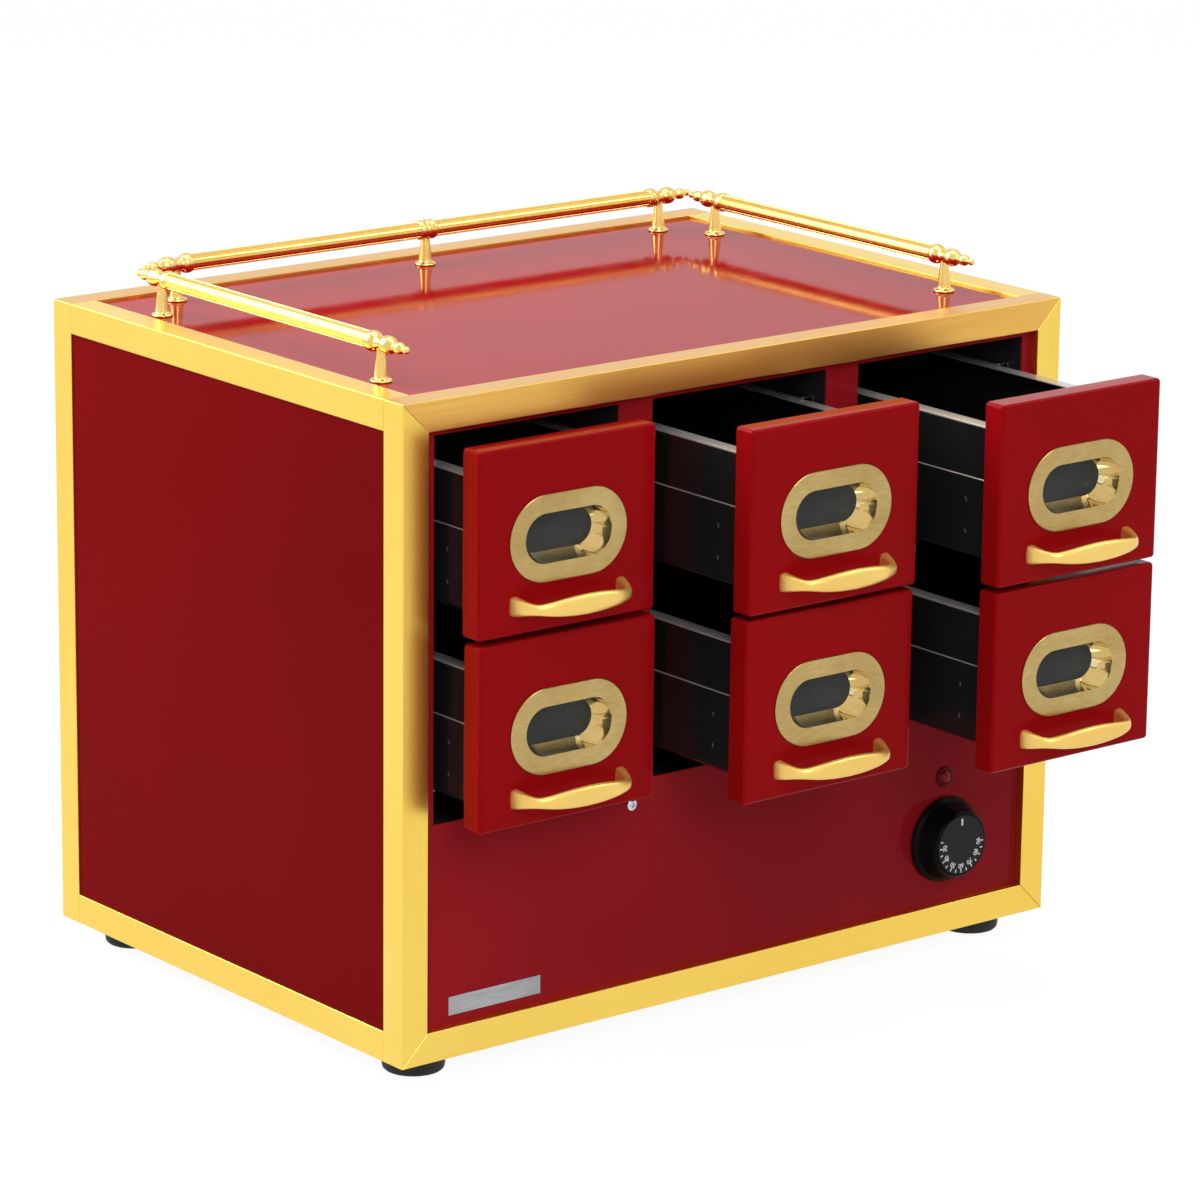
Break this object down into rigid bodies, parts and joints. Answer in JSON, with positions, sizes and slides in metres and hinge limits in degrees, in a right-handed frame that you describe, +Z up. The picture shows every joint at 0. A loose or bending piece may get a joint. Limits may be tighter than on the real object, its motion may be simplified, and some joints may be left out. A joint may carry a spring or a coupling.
{
  "type": "drawer warmer",
  "caption": "Countertop drawer warmer: square gold frame, red panels, windowed pull-out drawers with steel trays, gallery rail on top, thermostat knob and lamp below.",
  "frame": {"origin": "on the standing surface, below the middle of the whole part's box, with the drawers as at rest", "axes": "+X to the right along the front, +Y from the front to the back, +Z up"},
  "size_m": [0.543, 0.5536, 0.4692],
  "materials": {
    "red_enamel": "gloss deep red",
    "red_lacquer": "lacquered fibreboard, gloss deep red",
    "gold_aluminium": "satin gold anodised",
    "gold_plate": "polished gold",
    "brushed_gold": "brushed face with a polished reveal",
    "stainless": "polished stainless steel",
    "zinc_steel": "zinc plated",
    "dark_sheet": "heat-proof black",
    "smoked_glass": "smoked, gloss",
    "heat_aluminium": "mill finish",
    "heater_steel": "heat-darkened sheath",
    "black_plastic": "gloss black",
    "dark_plastic": "matt black",
    "lens_plastic": "dark red lens",
    "foot_rubber": "matt black",
    "plate_metal": "brushed",
    "wire_cover": "heat-proof sleeve"
  },
  "bodies": {
    "cabinet": {"frame_front_surround": "gold_aluminium", "frame_back_surround": "gold_aluminium", "frame_side_rails": "gold_aluminium", "top_panel": "red_enamel", "side_panel_left": "red_enamel", "side_panel_right": "red_enamel", "front_grid": "red_enamel", "control_panel": "red_enamel", "back_panel": "dark_sheet", "base_panel": "dark_sheet", "inner_casing": "dark_sheet", "drawer_dividers": "dark_sheet", "drawer_runners": "dark_sheet", "foot_pads": "foot_rubber", "heat_plate": "heat_aluminium", "heating_element": "heater_steel", "element_clips": "zinc_steel", "thermostat_body": "dark_plastic", "indicator_lamp": "lens_plastic", "nameplate": "plate_metal", "gallery_tubes": "gold_plate", "gallery_posts": "gold_plate", "gallery_finials": "gold_plate", "cable_gland": "dark_plastic", "terminal_block": "dark_plastic", "wiring_harness": "wire_cover", "cabinet_screws": "zinc_steel"},
    "knob": {"thermostat_knob": "black_plastic", "thermostat_spindle": "zinc_steel"},
    "drawer_lower_left": {"drawer_front_lower_left": "red_lacquer", "window_bezel_lower_left": "brushed_gold", "window_pane_lower_left": "smoked_glass", "handle_lower_left": "gold_plate", "tray_lower_left": "stainless"},
    "drawer_upper_left": {"drawer_front_upper_left": "red_lacquer", "window_bezel_upper_left": "brushed_gold", "window_pane_upper_left": "smoked_glass", "handle_upper_left": "gold_plate", "tray_upper_left": "stainless"},
    "drawer_lower_middle": {"drawer_front_lower_middle": "red_lacquer", "window_bezel_lower_middle": "brushed_gold", "window_pane_lower_middle": "smoked_glass", "handle_lower_middle": "gold_plate", "tray_lower_middle": "stainless"},
    "drawer_upper_middle": {"drawer_front_upper_middle": "red_lacquer", "window_bezel_upper_middle": "brushed_gold", "window_pane_upper_middle": "smoked_glass", "handle_upper_middle": "gold_plate", "tray_upper_middle": "stainless"},
    "drawer_lower_right": {"drawer_front_lower_right": "red_lacquer", "window_bezel_lower_right": "brushed_gold", "window_pane_lower_right": "smoked_glass", "handle_lower_right": "gold_plate", "tray_lower_right": "stainless"},
    "drawer_upper_right": {"drawer_front_upper_right": "red_lacquer", "window_bezel_upper_right": "brushed_gold", "window_pane_upper_right": "smoked_glass", "handle_upper_right": "gold_plate", "tray_upper_right": "stainless"}
  },
  "joints": [
    {"name": "slide_lower_left", "type": "slide", "parent": "cabinet", "child": "drawer_lower_left", "axis": [0, -1, 0], "range_m": [-0.037, 0.203]},
    {"name": "slide_upper_left", "type": "slide", "parent": "cabinet", "child": "drawer_upper_left", "axis": [0, -1, 0], "range_m": [-0.035, 0.205]},
    {"name": "slide_lower_middle", "type": "slide", "parent": "cabinet", "child": "drawer_lower_middle", "axis": [0, -1, 0], "range_m": [-0.086, 0.154]},
    {"name": "slide_upper_middle", "type": "slide", "parent": "cabinet", "child": "drawer_upper_middle", "axis": [0, -1, 0], "range_m": [-0.088, 0.152]},
    {"name": "slide_lower_right", "type": "slide", "parent": "cabinet", "child": "drawer_lower_right", "axis": [0, -1, 0], "range_m": [-0.128, 0.112]},
    {"name": "slide_upper_right", "type": "slide", "parent": "cabinet", "child": "drawer_upper_right", "axis": [0, -1, 0], "range_m": [-0.1285, 0.1115]},
    {"name": "thermostat_turn", "type": "hinge", "parent": "cabinet", "child": "knob", "pos_m": [0.184, -0.11865, 0.0797], "axis": [0, 1, 0], "range_deg": [0, 270]}
  ]
}
